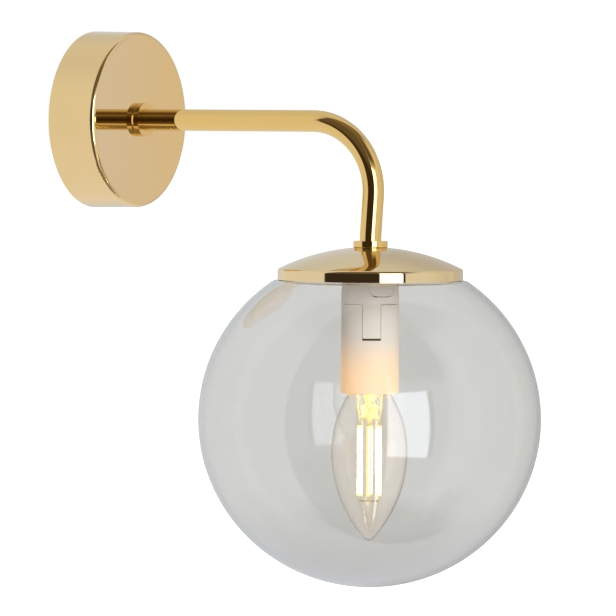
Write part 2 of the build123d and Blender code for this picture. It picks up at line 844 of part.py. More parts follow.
with BuildPart() as centre_contact:
    with BuildSketch(level(insert_top_z)):
        with Locations(post_places[0]):
            Circle(post_dia / 2)
            Circle(post_bore / 2, mode=Mode.SUBTRACT)
    extrude(amount=-insert_deck)
    with BuildSketch(lamp_plane.offset(-post_dia)):
        with Locations((-post_offset, clamp_z)):
            Circle(post_hole)
    extrude(amount=post_dia, mode=Mode.SUBTRACT)
    with BuildSketch(lamp_plane):
        with BuildLine():
            Polyline(
                (-post_offset - strip_root, deck_z - strip_thickness / 2),
                (-post_dia / 2, deck_z - strip_thickness / 2),
                (-lamp_tip_dia / 4, strip_foot_z + strip_thickness / 2),
                (lamp_tip_dia / 4, strip_foot_z + strip_thickness / 2),
            )
        trace(line_width=strip_thickness)
    extrude(amount=strip_width / 2, both=True)

with BuildPart() as side_contact:
    with BuildSketch(level(insert_top_z)):
        with Locations(post_places[1]):
            Circle(post_dia / 2)
            Circle(post_bore / 2, mode=Mode.SUBTRACT)
    extrude(amount=-insert_deck)
    with BuildSketch(lamp_plane.offset(-post_dia)):
        with Locations((post_offset, clamp_z)):
            Circle(post_hole)
    extrude(amount=post_dia, mode=Mode.SUBTRACT)
    with BuildSketch(lamp_plane):
        with BuildLine():
            Polyline(
                (post_offset - strip_root, deck_z - strip_thickness / 2),
                (socket_r + strip_thickness / 2, deck_z - strip_thickness / 2),
                (socket_r + strip_thickness / 2, deck_z - side_strip_length),
            )
        trace(line_width=strip_thickness)
    extrude(amount=strip_width / 2, both=True)

clamp_y = wire_dia / 2 + wire_end_gap / 2

with BuildPart() as clamp_screws:
    with BuildSketch(lamp_plane.offset(-clamp_y)):
        with Locations((-post_offset, clamp_z), (post_offset, clamp_z)):
            Circle(clamp_screw_dia / 2)
    extrude(amount=-clamp_screw_length)
    with BuildSketch(lamp_plane.offset(-clamp_y - clamp_screw_length)):
        with Locations((-post_offset, clamp_z), (post_offset, clamp_z)):
            Rectangle(clamp_screw_dia, screw_slot_width)
    extrude(amount=screw_slot_depth, mode=Mode.SUBTRACT)

# ---- candle lamp ----

thread_r = lamp_thread_dia / 2
skirt_r = lamp_skirt_dia / 2

with BuildPart() as lamp_tip_contact:
    with BuildSketch(level(insulator_z)):
        Circle(lamp_tip_dia / 2)
    extrude(amount=lamp_tip_height)
    fillet(lamp_tip_contact.faces().sort_by(Axis.Z)[-1].edges(), lamp_tip_height / 2)

with BuildPart() as lamp_insulator:
    with BuildSketch(lamp_plane):
        with BuildLine():
            Polyline(
                (0, insulator_z),
                (lamp_tip_dia / 2 + lamp_cap_sheet, insulator_z),
                (thread_r - 2 * lamp_cap_sheet, lamp_cap_z),
                (0, lamp_cap_z),
                close=True,
            )
        make_face()
    revolve(axis=lamp_axis)

skirt_top_z = lamp_cap_foot_z + lamp_skirt_length

with BuildPart() as lamp_screw_cap:
    with BuildSketch(lamp_plane):
        with BuildLine():
            Polyline(
                (thread_r - 3 * lamp_cap_sheet, lamp_cap_z),
                (thread_r - 2 * lamp_cap_sheet, lamp_cap_z),
                (thread_r, lamp_cap_z - 2 * lamp_cap_sheet),
                (thread_r, skirt_top_z),
                (skirt_r, skirt_top_z - lamp_cap_sheet),
                (skirt_r, lamp_cap_foot_z),
                (skirt_r - lamp_cap_sheet, lamp_cap_foot_z),
                (skirt_r - lamp_cap_sheet, skirt_top_z - 2 * lamp_cap_sheet),
                (thread_r - lamp_cap_sheet, skirt_top_z - lamp_cap_sheet),
                (thread_r - lamp_cap_sheet, lamp_cap_z - 3 * lamp_cap_sheet),
                (thread_r - 3 * lamp_cap_sheet, lamp_cap_z - 2 * lamp_cap_sheet),
                close=True,
            )
        make_face()
    revolve(axis=lamp_axis)

belly_r = lamp_dia / 2
lamp_tail = belly_z - (lamp_top_z - lamp_length) - lamp_tip_round
lamp_ogive_radius = (lamp_tail**2 + belly_r**2 - lamp_tip_round**2) / 2 / (belly_r - lamp_tip_round)


def lamp_section(inset):
    # half section of the lamp's glass, this far inside its outer skin
    shoulder_radius = lamp_shoulder_radius - inset
    ogive_radius = lamp_ogive_radius - inset
    tip_radius = lamp_tip_round - inset / 2
    throat_r = lamp_neck_dia / 2 - inset
    waist_z = belly_z + lamp_shoulder_rise
    waist_r = belly_r - lamp_shoulder_radius + sqrt(shoulder_radius**2 - lamp_shoulder_rise**2)
    centre_r = belly_r - lamp_ogive_radius
    tip_centre_z = belly_z - sqrt((ogive_radius - tip_radius) ** 2 - centre_r**2)
    lean = (belly_z - tip_centre_z) / (ogive_radius - tip_radius)
    touch_r = centre_r + ogive_radius * sqrt(1 - lean**2)
    touch_z = belly_z - ogive_radius * lean
    with BuildLine() as section:
        neck = Line((0, lamp_neck_z), (throat_r, lamp_neck_z))
        throat = Line(neck @ 1, (throat_r, lamp_cap_foot_z - lamp_neck_gap))
        waist = Line(throat @ 1, (waist_r, waist_z))
        shoulder = RadiusArc(waist @ 1, (belly_r - inset, belly_z), shoulder_radius)
        ogive = RadiusArc(shoulder @ 1, (touch_r, touch_z), ogive_radius)
        nose = RadiusArc(ogive @ 1, (0, tip_centre_z - tip_radius), tip_radius)
        Line(nose @ 1, neck @ 0)
    return section.edges()


with BuildPart() as lamp_glass:
    with BuildSketch(lamp_plane):
        make_face(lamp_section(0))
    revolve(axis=lamp_axis)
    with BuildSketch(lamp_plane):
        make_face(lamp_section(lamp_glass_wall))
    revolve(axis=lamp_axis, mode=Mode.SUBTRACT)

stem_r = stem_dia / 2
pinch_r = stem_pinch_dia / 2
stem_foot_z = lamp_neck_z - stem_length

with BuildPart() as lamp_stem:
    with BuildSketch(lamp_plane):
        with BuildLine():
            flare = Line((0, lamp_neck_z), (stem_r, lamp_neck_z))
            cone = Line(flare @ 1, (pinch_r, stem_foot_z + 3 * pinch_r))
            pinch = Line(cone @ 1, (pinch_r, stem_foot_z))
            Polyline(pinch @ 1, (0, stem_foot_z), flare @ 0)
        make_face()
    revolve(axis=lamp_axis)
    with BuildSketch(lamp_plane):
        with BuildLine():
            Polyline(
                (0, lamp_neck_z),
                (stem_r - stem_wall, lamp_neck_z),
                (stem_wall, stem_foot_z + 4 * pinch_r),
                (0, stem_foot_z + 4 * pinch_r),
                close=True,
            )
        make_face()
    revolve(axis=lamp_axis, mode=Mode.SUBTRACT)
    with BuildSketch(level(stem_foot_z)):
        SlotOverall(stem_press_width, stem_pinch_dia, rotation=filament_turn + 90)
    extrude(amount=stem_press_height)

with BuildPart() as lamp_filaments:
    with BuildSketch(level(filament_top_z)):
        with PolarLocations(filament_ring_dia / 2, filament_count, filament_turn):
            Rectangle(filament_width, filament_thickness)
    extrude(amount=-filament_length)

lead_top_z = stem_foot_z - lead_dia / 2
lead_foot_z = filament_foot_z - filament_width

with BuildPart() as lamp_leads:
    with BuildSketch(level(stem_foot_z)):
        Circle(lead_dia / 2)
    extrude(amount=lead_foot_z - stem_foot_z)
    with BuildSketch(level(filament_foot_z)):
        with PolarLocations(filament_ring_dia / 2, filament_count, filament_turn):
            Circle(lead_dia / 2)
    extrude(amount=lead_foot_z - filament_foot_z)
    for place in range(filament_count):
        turn = filament_turn + place * 360 / filament_count
        with BuildSketch(across(turn)):
            with BuildLine():
                Line((0, lead_foot_z), (filament_ring_dia / 2, lead_foot_z))
            trace(line_width=lead_dia)
        extrude(amount=lead_dia / 2, both=True)
        with BuildSketch(across(turn)):
            with BuildLine():
                Polyline(
                    (0, lead_top_z),
                    (pinch_r / 2, lead_top_z),
                    (filament_ring_dia / 2, filament_top_z + filament_width),
                    (filament_ring_dia / 2, filament_top_z),
                )
            trace(line_width=lead_dia)
        extrude(amount=lead_dia / 2, both=True)

with BuildPart() as lamp_driver:
    with BuildSketch(level(lamp_cap_z)):
        Rectangle(driver_width, driver_thickness)
    extrude(amount=-driver_length)
    with BuildSketch(lamp_plane.offset(driver_thickness / 2)):
        with Locations((0, lamp_cap_z - driver_length / 2)):
            Rectangle(capacitor_dia, capacitor_length)
    extrude(amount=capacitor_dia / 2)

finished = {
    "wall_bracket": wall_bracket,
    "bracket_earth_screw": bracket_earth_screw,
    "canopy": canopy,
    "weld_nuts": weld_nuts,
    "grub_screws": grub_screws,
    "arm_tube": arm_tube,
    "canopy_collar": canopy_collar,
    "cap_collar": cap_collar,
    "earth_tag": earth_tag,
    "canopy_washer": canopy_washer,
    "canopy_nut": canopy_nut,
    "cap_washer": cap_washer,
    "cap_nut": cap_nut,
    "terminal_block": terminal_block,
    "terminal_sleeves": terminal_sleeves,
    "terminal_screws": terminal_screws,
    "live_wire": live_wire,
    "neutral_wire": neutral_wire,
    "earth_wire": earth_wire,
    "dome_cap": dome_cap,
    "globe_spring": globe_spring,
    "glass_globe": glass_globe,
    "holder_cap": holder_cap,
    "entry_bush": entry_bush,
    "holder_shell": holder_shell,
    "holder_insert": holder_insert,
    "centre_contact": centre_contact,
    "side_contact": side_contact,
    "clamp_screws": clamp_screws,
    "lamp_tip_contact": lamp_tip_contact,
    "lamp_insulator": lamp_insulator,
    "lamp_screw_cap": lamp_screw_cap,
    "lamp_glass": lamp_glass,
    "lamp_stem": lamp_stem,
    "lamp_filaments": lamp_filaments,
    "lamp_leads": lamp_leads,
    "lamp_driver": lamp_driver,
}

for piece_name, piece in finished.items():
    piece.part.label = piece_name
    export_step(piece.part, f"parts/{piece_name}.step")
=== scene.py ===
import math

import bmesh
import bpy
from mathutils import Matrix, Vector


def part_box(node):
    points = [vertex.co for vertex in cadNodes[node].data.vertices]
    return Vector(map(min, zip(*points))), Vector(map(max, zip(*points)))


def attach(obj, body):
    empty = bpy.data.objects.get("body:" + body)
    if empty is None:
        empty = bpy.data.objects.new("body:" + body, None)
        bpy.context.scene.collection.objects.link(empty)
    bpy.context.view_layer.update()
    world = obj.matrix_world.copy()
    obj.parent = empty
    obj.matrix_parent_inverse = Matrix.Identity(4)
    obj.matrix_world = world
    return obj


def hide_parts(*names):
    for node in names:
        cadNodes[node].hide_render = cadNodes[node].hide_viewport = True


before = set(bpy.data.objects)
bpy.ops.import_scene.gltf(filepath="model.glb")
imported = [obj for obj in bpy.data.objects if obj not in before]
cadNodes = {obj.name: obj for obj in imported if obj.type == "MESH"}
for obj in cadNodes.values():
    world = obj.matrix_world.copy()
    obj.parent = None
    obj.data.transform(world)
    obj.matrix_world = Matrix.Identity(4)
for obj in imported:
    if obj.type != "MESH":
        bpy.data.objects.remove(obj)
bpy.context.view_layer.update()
print("frame loaded:", len(cadNodes), "nodes")

# the camera, at the photograph's angle: degrees and metres, the lens and its sensor in mm
cameraSettings = {
    "azimuth": -59.6,
    "elevation": 2.355,
    "roll": 0.282,
    "distance": 2.3,
    "target": (0.0, -0.11594, -0.08614),
    "lens": 291.7,
    "sensor": 36.0,
}


def addCamera(settings):
    azimuth = math.radians(settings["azimuth"])
    elevation = math.radians(settings["elevation"])
    roll = math.radians(settings["roll"])
    back = Vector((
        math.sin(azimuth) * math.cos(elevation),
        -math.cos(azimuth) * math.cos(elevation),
        math.sin(elevation),
    ))
    right = Vector((math.cos(azimuth), math.sin(azimuth), 0))
    up = back.cross(right)
    rolledRight = right * math.cos(roll) + up * math.sin(roll)
    rolledUp = up * math.cos(roll) - right * math.sin(roll)
    place = Vector(settings["target"]) + back * settings["distance"]
    turn = Matrix((rolledRight, rolledUp, back)).transposed()
    data = bpy.data.cameras.new("camera")
    data.lens = settings["lens"]
    data.sensor_width = settings["sensor"]
    camera = bpy.data.objects.new("camera", data)
    camera.matrix_world = Matrix.Translation(place) @ turn.to_4x4()
    bpy.context.scene.collection.objects.link(camera)
    bpy.context.scene.camera = camera


addCamera(cameraSettings)
print("camera set")


def addNode(tree, kind, **values):
    node = tree.nodes.new(kind)
    for name, value in values.items():
        setattr(node, name, value)
    return node


def feed(tree, socket, value):
    # value is another node's output, a colour, a vector or a number
    if hasattr(value, "is_linked"):
        tree.links.new(value, socket)
    elif socket.type == "RGBA":
        socket.default_value = (*value, 1)
    else:
        socket.default_value = value


def mathNode(tree, operation, first, second=None):
    node = addNode(tree, "ShaderNodeMath", operation=operation)
    feed(tree, node.inputs[0], first)
    if second is not None:
        feed(tree, node.inputs[1], second)
    return node.outputs[0]


def softStep(tree, value, low, high):
    # 0 at low, 1 at high, smooth between them
    node = addNode(tree, "ShaderNodeMapRange", interpolation_type="SMOOTHSTEP")
    feed(tree, node.inputs["Value"], value)
    feed(tree, node.inputs["From Min"], low)
    feed(tree, node.inputs["From Max"], high)
    return node.outputs["Result"]


def mixColours(tree, factor, first, second):
    # input 0 is the node's factor, and 6 and 7 are its two colours
    node = addNode(tree, "ShaderNodeMix", data_type="RGBA")
    for place, value in ((0, factor), (6, first), (7, second)):
        feed(tree, node.inputs[place], value)
    return node.outputs[2]


# the tent round the lamp, as brass and glass reflect it: bearings run from the camera's side to its
# right and heights up from the horizon, in degrees, and an edge is half the width of a soft border
tentSettings = {
    "front": (0.90, 0.90, 0.90),
    "side": (0.66, 0.66, 0.65),
    "sideBearings": (62.0, 140.0),
    "back": (0.70, 0.725, 0.75),
    "backRight": (0.58, 0.575, 0.57),
    "backBearings": (135.0, 168.0),
    "backSplit": (-0.03, 0.07),  # how far to the right of straight behind the two backs meet
    "above": (0.80, 0.81, 0.82),
    "aboveHeights": (28.0, 62.0),
    "below": (0.93, 0.93, 0.98),
    "belowHeights": (-12.0, -45.0),
    "cool": (0.80, 0.81, 0.99),  # two cloths meet where the canopy's face looks
    "warm": (0.84, 0.765, 0.665),
    "clothBearings": (114.0, 126.0),
    "clothEdge": 3.0,
    "seamBearings": (116.5, 118.0),
    # the room behind the camera, the wing over the light panel, and the panel's own right edge
    "darkPatches": (
        {"bearings": (-59.3, 11.0), "heights": (-70.0, 70.0), "edges": (1.2, 4.8)},
        {"bearings": (9.8, 62.0), "heights": (27.0, 70.0), "edges": (9.6, 7.2)},
        {"bearings": (40.0, 43.5), "heights": (-22.0, 21.5), "edges": (0.6, 1.2)},
    ),
    "crownBearings": (-66.0, 112.0),  # the tent's open top and foot, dark as well
    "crownEdge": 9.6,
    "crownHeights": (46.0, 66.0),
    "dark": (0.045, 0.033, 0.024),
    "darkHigh": (0.15, 0.12, 0.085),
    "darkHighHeights": (8.0, 26.0),
    "darkCrown": (0.26, 0.21, 0.15),
    "darkCrownHeights": (50.0, 78.0),
    "panel": (4.4, 4.5, 4.9),  # the white light panel to the camera's right
    "panelPatch": {"bearings": (11.5, 40.0), "heights": (-22.0, 21.5), "edges": (1.2, 1.2)},
    "backdrop": (1.0, 1.0, 1.0),  # what the camera sees, also through the glass
    "ambient": (0.84, 0.84, 0.84),  # what matt surfaces get from all round
}


def bandMask(tree, value, span, edge):
    low, high = span
    rise = softStep(tree, value, low - edge, low + edge)
    fall = softStep(tree, value, high - edge, high + edge)
    return mathNode(tree, "MULTIPLY", rise, mathNode(tree, "SUBTRACT", 1.0, fall))


def patchMask(tree, bearing, height, patch):
    across = bandMask(tree, bearing, patch["bearings"], patch["edges"][0])
    upright = bandMask(tree, height, patch["heights"], patch["edges"][1])
    return mathNode(tree, "MULTIPLY", across, upright)


def buildTent(settings):
    world = bpy.data.worlds.new("studio")
    bpy.context.scene.world = world
    world.use_nodes = True
    tree = world.node_tree
    tree.nodes.clear()
    turned = addNode(tree, "ShaderNodeVectorRotate", rotation_type="Z_AXIS")
    feed(tree, turned.inputs["Vector"], addNode(tree, "ShaderNodeTexCoord").outputs["Generated"])
    feed(tree, turned.inputs["Angle"], -math.radians(cameraSettings["azimuth"]))
    parts = addNode(tree, "ShaderNodeSeparateXYZ")
    feed(tree, parts.inputs[0], turned.outputs[0])
    toFront = mathNode(tree, "MULTIPLY", parts.outputs["Y"], -1.0)
    bearing = mathNode(tree, "DEGREES", mathNode(tree, "ARCTAN2", parts.outputs["X"], toFront))
    height = mathNode(tree, "DEGREES", mathNode(tree, "ARCSINE", parts.outputs["Z"]))
    aside = mathNode(tree, "ABSOLUTE", bearing)
    steep = mathNode(tree, "ABSOLUTE", height)

    sideways = softStep(tree, bearing, *settings["sideBearings"])
    walls = mixColours(tree, sideways, settings["front"], settings["side"])
    split = softStep(tree, parts.outputs["X"], *settings["backSplit"])
    back = mixColours(tree, split, settings["back"], settings["backRight"])
    walls = mixColours(tree, softStep(tree, aside, *settings["backBearings"]), walls, back)
    seam = softStep(tree, bearing, *settings["seamBearings"])
    cloths = mixColours(tree, seam, settings["cool"], settings["warm"])
    clothMask = bandMask(tree, bearing, settings["clothBearings"], settings["clothEdge"])
    walls = mixColours(tree, clothMask, walls, cloths)
    for way in ("above", "below"):
        reached = softStep(tree, height, *settings[way + "Heights"])
        walls = mixColours(tree, reached, walls, settings[way])

    crown = bandMask(tree, bearing, settings["crownBearings"], settings["crownEdge"])
    shade = mathNode(tree, "MULTIPLY", crown, softStep(tree, steep, *settings["crownHeights"]))
    for patch in settings["darkPatches"]:
        shade = mathNode(tree, "MAXIMUM", shade, patchMask(tree, bearing, height, patch))
    lift = softStep(tree, steep, *settings["darkHighHeights"])
    dark = mixColours(tree, lift, settings["dark"], settings["darkHigh"])
    crownLift = softStep(tree, steep, *settings["darkCrownHeights"])
    dark = mixColours(tree, crownLift, dark, settings["darkCrown"])
    walls = mixColours(tree, shade, walls, dark)
    panel = patchMask(tree, bearing, height, settings["panelPatch"])
    walls = mixColours(tree, panel, walls, settings["panel"])

    # a ray that metal or glass has thrown back sees the tent, any other sees the plain backdrop
    rays = addNode(tree, "ShaderNodeLightPath")
    turnedBack = mathNode(tree, "GREATER_THAN", rays.outputs["Glossy Depth"], 0.5)
    scattered = mathNode(tree, "GREATER_THAN", rays.outputs["Diffuse Depth"], 0.5)
    seen = mixColours(tree, turnedBack, settings["backdrop"], walls)
    seen = mixColours(tree, scattered, seen, settings["ambient"])
    background = addNode(tree, "ShaderNodeBackground")
    feed(tree, background.inputs["Color"], seen)
    output = addNode(tree, "ShaderNodeOutputWorld")
    feed(tree, output.inputs["Surface"], background.outputs[0])


floorSettings = {
    "height": -0.36,
    "size": 60.0,
    "paper": (0.80, 0.80, 0.80),
    "glow": 0.56,  # brings the lit paper up to the backdrop's white
}


def buildFloor(settings):
    mesh = bpy.data.meshes.new("floor")
    bm = bmesh.new()
    bmesh.ops.create_grid(bm, x_segments=1, y_segments=1, size=settings["size"] / 2)
    bmesh.ops.translate(bm, vec=(0, 0, settings["height"]), verts=bm.verts)
    bm.to_mesh(mesh)
    bm.free()
    floor = bpy.data.objects.new("floor", mesh)
    bpy.context.scene.collection.objects.link(floor)
    material = bpy.data.materials.new("floorPaper")
    material.use_nodes = True
    tree = material.node_tree
    tree.nodes.clear()
    paper = addNode(tree, "ShaderNodeBsdfDiffuse")
    feed(tree, paper.inputs["Color"], settings["paper"])
    glow = addNode(tree, "ShaderNodeEmission")
    feed(tree, glow.inputs["Strength"], settings["glow"])
    unlit = addNode(tree, "ShaderNodeEmission")
    feed(tree, unlit.inputs["Strength"], 0.0)
    rays = addNode(tree, "ShaderNodeLightPath")
    seen = rays.outputs["Is Camera Ray"]
    for kind in ("Is Transmission Ray", "Is Glossy Ray"):
        seen = mathNode(tree, "MAXIMUM", seen, rays.outputs[kind])
    pick = addNode(tree, "ShaderNodeMixShader")
    for socket, value in zip(pick.inputs, (seen, unlit.outputs[0], glow.outputs[0])):
        feed(tree, socket, value)
    both = addNode(tree, "ShaderNodeAddShader")
    feed(tree, both.inputs[0], paper.outputs[0])
    feed(tree, both.inputs[1], pick.outputs[0])
    output = addNode(tree, "ShaderNodeOutputMaterial")
    feed(tree, output.inputs["Surface"], both.outputs[0])
    mesh.materials.append(material)
    floor.visible_glossy = False
    floor.visible_transmission = False


lightSettings = {
    "keyLight": {"place": (-1.0, -1.65, 0.5), "size": 1.0, "power": 27.0, "colour": (1.0, 0.99, 0.97)},
    "fillLight": {"place": (1.5, -0.9, 0.4), "size": 1.2, "power": 6.0, "colour": (1.0, 0.99, 0.98)},
    "topLight": {"place": (0.0, -0.2, 1.6), "size": 1.4, "power": 8.0, "colour": (1.0, 1.0, 1.0)},
}


def addLights(settings):
    aim = Vector(cameraSettings["target"])
    for name, values in settings.items():
        data = bpy.data.lights.new(name, "AREA")
        data.size = values["size"]
        data.energy = values["power"]
        data.color = values["colour"]
        light = bpy.data.objects.new(name, data)
        light.location = values["place"]
        light.rotation_euler = (light.location - aim).to_track_quat("Z", "Y").to_euler()
        light.visible_camera = False
        light.visible_glossy = False
        light.visible_transmission = False
        bpy.context.scene.collection.objects.link(light)


buildTent(tentSettings)
buildFloor(floorSettings)
addLights(lightSettings)
bpy.context.scene.view_settings.view_transform = "Standard"
print("studio built")

# slow patches and fine grain, by which every finish varies a little in gloss and colour
smudgeSettings = {
    "patchDetail": 4,
    "grainDetail": 3,
    "patchShare": 0.75,
    "grainShare": 0.25,
    "noiseSpan": (0.3, 0.7),
}


def buildSmudgeGroup(settings):
    group = bpy.data.node_groups.new("smudges", "ShaderNodeTree")
    face = group.interface
    face.new_socket("Place", in_out="INPUT", socket_type="NodeSocketVector")
    for name in ("Patch Scale", "Grain Scale", "Low", "High"):
        face.new_socket(name, in_out="INPUT", socket_type="NodeSocketFloat")
    for name in ("Roughness", "Patches", "Grain"):
        face.new_socket(name, in_out="OUTPUT", socket_type="NodeSocketFloat")
    enter = addNode(group, "NodeGroupInput").outputs
    leave = addNode(group, "NodeGroupOutput").inputs

    def noise(scale, detail):
        node = addNode(group, "ShaderNodeTexNoise")
        feed(group, node.inputs["Vector"], enter["Place"])
        feed(group, node.inputs["Scale"], enter[scale])
        feed(group, node.inputs["Detail"], detail)
        return node.outputs[0]

    patches = noise("Patch Scale", settings["patchDetail"])
    grain = noise("Grain Scale", settings["grainDetail"])
    fine = mathNode(group, "MULTIPLY", grain, settings["grainShare"])
    blend = mathNode(group, "ADD", fine, mathNode(group, "MULTIPLY", patches, settings["patchShare"]))
    spread = addNode(group, "ShaderNodeMapRange")
    feed(group, spread.inputs["Value"], blend)
    feed(group, spread.inputs["From Min"], settings["noiseSpan"][0])
    feed(group, spread.inputs["From Max"], settings["noiseSpan"][1])
    feed(group, spread.inputs["To Min"], enter["Low"])
    feed(group, spread.inputs["To Max"], enter["High"])
    feed(group, leave["Roughness"], spread.outputs[0])
    feed(group, leave["Patches"], patches)
    feed(group, leave["Grain"], grain)
    return group


smudges = buildSmudgeGroup(smudgeSettings)


def newMaterial(name, **values):
    material = bpy.data.materials.new(name)
    material.use_nodes = True
    tree = material.node_tree
    shader = tree.nodes["Principled BSDF"]
    for socket, value in values.items():
        feed(tree, shader.inputs[socket.replace("_", " ")], value)
    return material, tree, shader


def objectPlace(tree):
    return addNode(tree, "ShaderNodeTexCoord").outputs["Object"]


def heightStep(tree, low, high):
    # 0 at height low, 1 at height high, in metres
    parts = addNode(tree, "ShaderNodeSeparateXYZ")
    feed(tree, parts.inputs[0], objectPlace(tree))
    return softStep(tree, parts.outputs["Z"], low, high)


def normalAlong(tree, direction):
    # how far a surface faces one direction, either way round
    facing = addNode(tree, "ShaderNodeVectorMath", operation="DOT_PRODUCT")
    feed(tree, facing.inputs[0], addNode(tree, "ShaderNodeTexCoord").outputs["Normal"])
    feed(tree, facing.inputs[1], direction)
    return mathNode(tree, "ABSOLUTE", facing.outputs["Value"])


def addSmudges(tree, shader, settings):
    node = addNode(tree, "ShaderNodeGroup", node_tree=smudges)
    feed(tree, node.inputs["Place"], objectPlace(tree))
    feed(tree, node.inputs["Patch Scale"], settings["patchScale"])
    feed(tree, node.inputs["Grain Scale"], settings["grainScale"])
    feed(tree, node.inputs["Low"], settings["rough"][0])
    feed(tree, node.inputs["High"], settings["rough"][1])
    feed(tree, shader.inputs["Roughness"], node.outputs["Roughness"])
    return node.outputs


def addBump(tree, shader, height, strength, depth):
    bump = addNode(tree, "ShaderNodeBump")
    feed(tree, bump.inputs["Strength"], strength)
    feed(tree, bump.inputs["Distance"], depth)
    feed(tree, bump.inputs["Height"], height)
    feed(tree, shader.inputs["Normal"], bump.outputs[0])


# each finish runs from pale to deep in patches, its rough pair is the least and most roughness,
# and grainDepth is how deep its grain is, in metres
metalGrain = {"metallic": 1.0, "patchScale": 30, "grainScale": 900, "bump": 0.3}
plasticGrain = {"metallic": 0.0, "patchScale": 40, "grainScale": 1200, "bump": 0.4}

metalFinishes = {
    "canopyBrass": {"pale": (0.81, 0.61, 0.31), "deep": (0.79, 0.585, 0.28), "rough": (0.012, 0.04)},
    "capBrass": {"pale": (0.80, 0.635, 0.365), "deep": (0.78, 0.61, 0.335), "rough": (0.012, 0.04)},
    "tubeBrass": {"pale": (0.80, 0.555, 0.205), "deep": (0.78, 0.53, 0.18), "rough": (0.012, 0.035)},
    "zincSteel": {
        "pale": (0.70, 0.71, 0.73), "deep": (0.55, 0.56, 0.57),
        "rough": (0.28, 0.45), "grainDepth": 0.00003,
    },
    "springSteel": {
        "pale": (0.55, 0.56, 0.58), "deep": (0.44, 0.45, 0.46),
        "rough": (0.18, 0.3), "grainDepth": 0.00002,
    },
    "tinnedTag": {
        "pale": (0.78, 0.78, 0.76), "deep": (0.62, 0.62, 0.6),
        "rough": (0.3, 0.45), "grainDepth": 0.00003,
    },
    "contactBrass": {
        "pale": (0.82, 0.63, 0.32), "deep": (0.70, 0.50, 0.22),
        "rough": (0.2, 0.35), "grainDepth": 0.00002,
    },
    "solder": {
        "pale": (0.66, 0.66, 0.65), "deep": (0.5, 0.5, 0.5),
        "rough": (0.35, 0.55), "grainDepth": 0.00006,
    },
}

plasticFinishes = {
    "blockPlastic": {
        "pale": (0.86, 0.85, 0.80), "deep": (0.80, 0.79, 0.73),
        "rough": (0.4, 0.55), "grainDepth": 0.00003,
    },
    # painted shade: the insert is near-black so that the holder's seams, where it shows, read as shade
    # lines
    "insertPlasticPaintedShade": {
        "pale": (0.085, 0.08, 0.075), "deep": (0.06, 0.056, 0.052),
        "rough": (0.4, 0.55), "grainDepth": 0.00003,
    },
    "brownWire": {
        "pale": (0.22, 0.10, 0.05), "deep": (0.17, 0.07, 0.035),
        "rough": (0.35, 0.5), "grainDepth": 0.00002,
    },
    "blueWire": {
        "pale": (0.06, 0.20, 0.50), "deep": (0.045, 0.15, 0.40),
        "rough": (0.35, 0.5), "grainDepth": 0.00002,
    },
    "blackInsulator": {
        "pale": (0.02, 0.02, 0.024), "deep": (0.035, 0.033, 0.034),
        "rough": (0.1, 0.25), "grainDepth": 0.00002,
    },
    "boardGreen": {
        "pale": (0.08, 0.25, 0.11), "deep": (0.06, 0.18, 0.08),
        "rough": (0.3, 0.45), "grainDepth": 0.00003,
    },
}


def startFinish(name, settings):
    # what metals and plastics share, with its colour for those that lay more over it
    material, tree, shader = newMaterial(name, Metallic=settings["metallic"])
    marks = addSmudges(tree, shader, settings)
    colour = mixColours(tree, marks["Patches"], settings["pale"], settings["deep"])
    feed(tree, shader.inputs["Base Color"], colour)
    if "grainDepth" in settings:
        addBump(tree, shader, marks["Grain"], settings["bump"], settings["grainDepth"])
    return material, tree, shader, colour


glassFinishes = {
    "globeGlass": {
        "tint": (0.79, 0.792, 0.776),
        "shadow": (0.97, 0.97, 0.965),
        "rough": (0.0, 0.01),
        "foot": {"top": -0.165, "full": -0.212, "tint": (0.70, 0.70, 0.69)},
    },
    "lampGlass": {
        "tint": (0.965, 0.965, 0.96),
        "shadow": (0.98, 0.98, 0.97),
        "rough": (0.0, 0.015),
        # painted light: a faint warm glow on the bulb glass, for the filaments' light it catches
        "glow": (1.0, 0.68, 0.38),
        "strength": 0.042,
    },
    "stemGlass": {
        "tint": (0.97, 0.93, 0.78),
        "shadow": (0.98, 0.95, 0.88),
        "rough": (0.05, 0.15),
        "glow": (1.0, 0.78, 0.18),
        "dim": (0.10, 0.07, 0.02),  # painted light: dim between the painted sparks of light that its creases catch
        "sparks": (0.44, 0.56),
        "strength": 0.95,
    },
}
glassGrain = {"patchScale": 18, "grainScale": 400, "index": 1.5, "paler": 1.012}


def makeGlass(name, settings):
    material, tree, shader = newMaterial(name, Transmission_Weight=1.0, IOR=settings["index"])
    marks = addSmudges(tree, shader, settings)
    paler = tuple(min(1.0, part * settings["paler"]) for part in settings["tint"])
    colour = mixColours(tree, marks["Patches"], settings["tint"], paler)
    if "foot" in settings:
        # the blown wall is thicker, and so darker, at the globe's foot
        foot = settings["foot"]
        colour = mixColours(tree, heightStep(tree, foot["top"], foot["full"]), colour, foot["tint"])
    feed(tree, shader.inputs["Base Color"], colour)
    # painted light: the glass glows with the filaments' light it catches, the stem in sparks
    if "glow" in settings:
        feed(tree, shader.inputs["Emission Color"], settings["glow"])
        feed(tree, shader.inputs["Emission Strength"], settings["strength"])
    if "sparks" in settings:
        sparks = softStep(tree, marks["Grain"], *settings["sparks"])
        glow = mixColours(tree, sparks, settings["dim"], settings["glow"])
        feed(tree, shader.inputs["Emission Color"], glow)
    # the lamps' light goes through to what stands inside the glass
    clear = addNode(tree, "ShaderNodeBsdfTransparent")
    feed(tree, clear.inputs["Color"], settings["shadow"])
    shadowRay = addNode(tree, "ShaderNodeLightPath").outputs["Is Shadow Ray"]
    pick = addNode(tree, "ShaderNodeMixShader")
    for socket, value in zip(pick.inputs, (shadowRay, shader.outputs[0], clear.outputs[0])):
        feed(tree, socket, value)
    feed(tree, tree.nodes["Material Output"].inputs["Surface"], pick.outputs[0])
    return material


